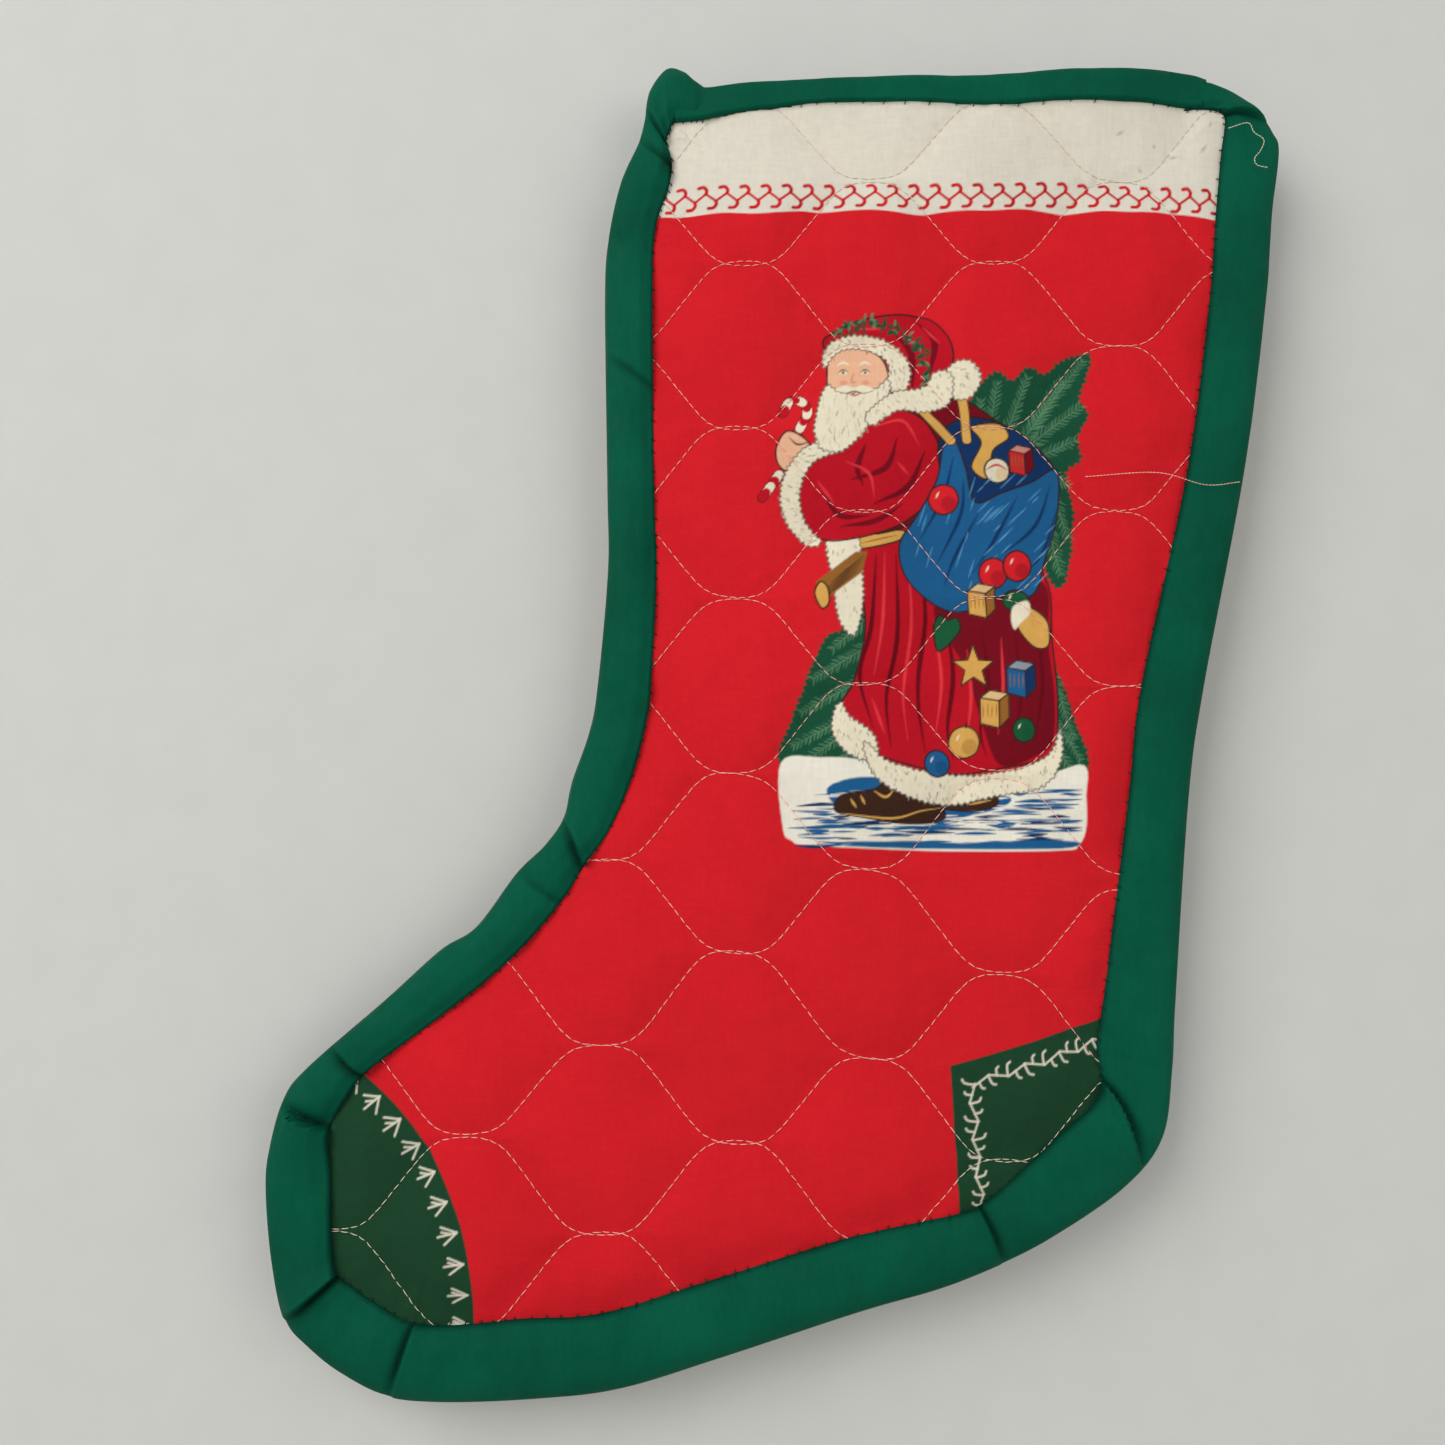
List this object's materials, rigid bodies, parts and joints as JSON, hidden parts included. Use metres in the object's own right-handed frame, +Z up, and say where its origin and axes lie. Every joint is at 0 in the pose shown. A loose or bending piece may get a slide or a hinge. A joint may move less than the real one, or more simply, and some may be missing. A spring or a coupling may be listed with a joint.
{
  "type": "hanging stocking",
  "caption": "Quilted red cotton gift stocking with a cream cuff, green toe and heel patches, wide green bound edges and a fabric hanging loop on its back.",
  "frame": {"origin": "centre of the round eye of the hanging loop, as it hangs folded down behind the top corner on the heel side", "axes": "+Z up along the leg, -Y the decorated front, +X towards the heel, so the toe points to -X"},
  "size_m": [0.3359, 0.0275, 0.4402],
  "materials": {
    "face_cotton": "matte printed quilting cotton: red ground, cream cuff, dark green toe and heel patches",
    "lining_cotton": "matte plain cream cotton",
    "batting": "soft needled polyester wadding",
    "binding_cotton": "smooth polished green cotton",
    "quilting_thread": "matte pinkish-white quilting thread",
    "sewing_thread": "matte dark green sewing thread"
  },
  "bodies": {
    "stocking": {"front_face_cloth": "face_cotton", "back_face_cloth": "face_cotton", "front_batting": "batting", "back_batting": "batting", "front_lining": "lining_cotton", "back_lining": "lining_cotton", "front_quilting_thread": "quilting_thread", "back_quilting_thread": "quilting_thread", "front_cuff_binding": "binding_cotton", "back_cuff_binding": "binding_cotton", "front_binding_stitching": "sewing_thread", "back_binding_stitching": "sewing_thread", "leg_binding": "binding_cotton", "instep_binding": "binding_cotton", "sole_binding": "binding_cotton", "side_seam_thread": "sewing_thread", "loop_tab": "binding_cotton", "loop_tack_stitching": "sewing_thread"},
    "loop": {"hanging_loop": "binding_cotton"}
  },
  "joints": [
    {"name": "loop_fold", "type": "hinge", "parent": "stocking", "child": "loop", "pos_m": [0, -0.0028, 0.048], "axis": [1, 0, 0], "range_deg": [0, 180]}
  ]
}
